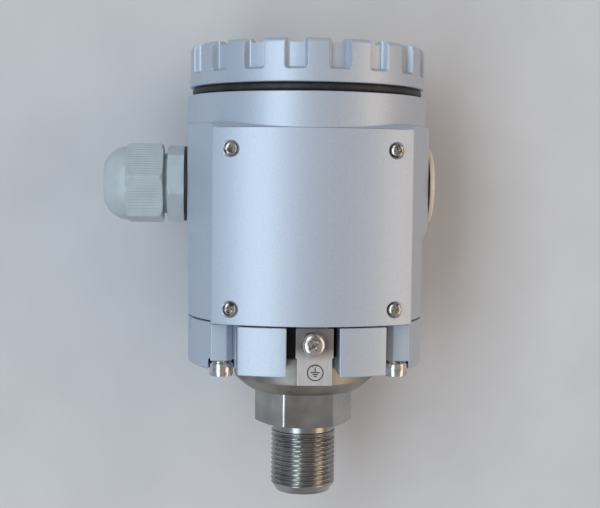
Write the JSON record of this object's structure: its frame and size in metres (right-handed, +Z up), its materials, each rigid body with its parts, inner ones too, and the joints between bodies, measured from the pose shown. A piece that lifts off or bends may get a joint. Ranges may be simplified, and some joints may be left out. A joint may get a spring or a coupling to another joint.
{
  "type": "pressure transmitter",
  "caption": "Round field housing with a screw cover, cable gland, blanking plug, front plate, lower clamp ring, ground bracket and threaded stainless process connector.",
  "frame": {"origin": "on the axis, at the shoulder where the connector's hexagon meets its threaded spigot", "axes": "+Z up along the axis to the cover, -Y to the front plate, -X to the cable gland"},
  "size_m": [0.1005, 0.0761, 0.1373],
  "materials": {
    "silver_paint": "silver blue metallic paint, satin",
    "black_rubber": "moulded",
    "screw_steel": "bright, slightly worn",
    "turned_steel": "turned stainless",
    "bracket_steel": "satin sheet",
    "gold_pins": "plated pins",
    "board_green": "solder mask",
    "component_black": "moulded",
    "module_plastic": "moulded",
    "terminal_plastic": "moulded",
    "gland_nylon": "pale grey nylon",
    "plug_nylon": "cream nylon"
  },
  "bodies": {
    "housing_group": {"housing": "silver_paint", "front_plate": "silver_paint", "front_plate_screws": "screw_steel", "lower_ring": "silver_paint", "lower_ring_screws": "screw_steel", "lower_ring_washers": "screw_steel", "process_connector": "turned_steel", "connector_gasket": "black_rubber", "sensor_o_ring": "black_rubber", "sensor_capsule": "turned_steel", "sensor_retainer": "turned_steel", "sensor_leads": "gold_pins", "board_standoffs": "screw_steel", "circuit_board": "board_green", "board_components": "component_black", "module_cover": "module_plastic", "module_screws": "screw_steel", "terminal_block": "terminal_plastic", "terminal_screws": "screw_steel", "gland_gasket": "black_rubber", "gland_body": "gland_nylon", "ground_bracket": "bracket_steel", "ground_washer": "screw_steel", "ground_spring_washer": "screw_steel", "ground_screw": "screw_steel"},
    "cover_seal": {"cover_o_ring": "black_rubber"},
    "cover": {"top_cover": "silver_paint"},
    "gland_bush": {"gland_seal": "black_rubber"},
    "nut": {"gland_nut": "gland_nylon"},
    "plug_seal": {"plug_gasket": "black_rubber"},
    "plug": {"blank_plug": "plug_nylon"}
  },
  "joints": [
    {"name": "cover_lift", "type": "slide", "parent": "housing_group", "child": "cover_seal", "axis": [0, 0, 1], "range_m": [0, 0.008]},
    {"name": "cover_turn", "type": "hinge", "parent": "cover_seal", "child": "cover", "pos_m": [0, 0, 0.108], "axis": [0, 0, 1], "range_deg": [0, 1440]},
    {"name": "gland_travel", "type": "slide", "parent": "housing_group", "child": "gland_bush", "axis": [-1, 0, 0], "range_m": [0, 0.009]},
    {"name": "gland_turn", "type": "hinge", "parent": "gland_bush", "child": "nut", "pos_m": [-0.05, 0, 0.074], "axis": [-1, 0, 0], "range_deg": [0, 2160]},
    {"name": "plug_travel", "type": "slide", "parent": "housing_group", "child": "plug_seal", "axis": [1, 0, 0], "range_m": [0, 0.009]},
    {"name": "plug_turn", "type": "hinge", "parent": "plug_seal", "child": "plug", "pos_m": [0.035, 0, 0.074], "axis": [1, 0, 0], "range_deg": [0, 2160]}
  ],
  "couplings": [
    {"joint": "cover_lift", "follows": "cover_turn", "m_per_rad": 0.00031831},
    {"joint": "gland_travel", "follows": "gland_turn", "m_per_rad": 0.00023873},
    {"joint": "plug_travel", "follows": "plug_turn", "m_per_rad": 0.00023873}
  ]
}
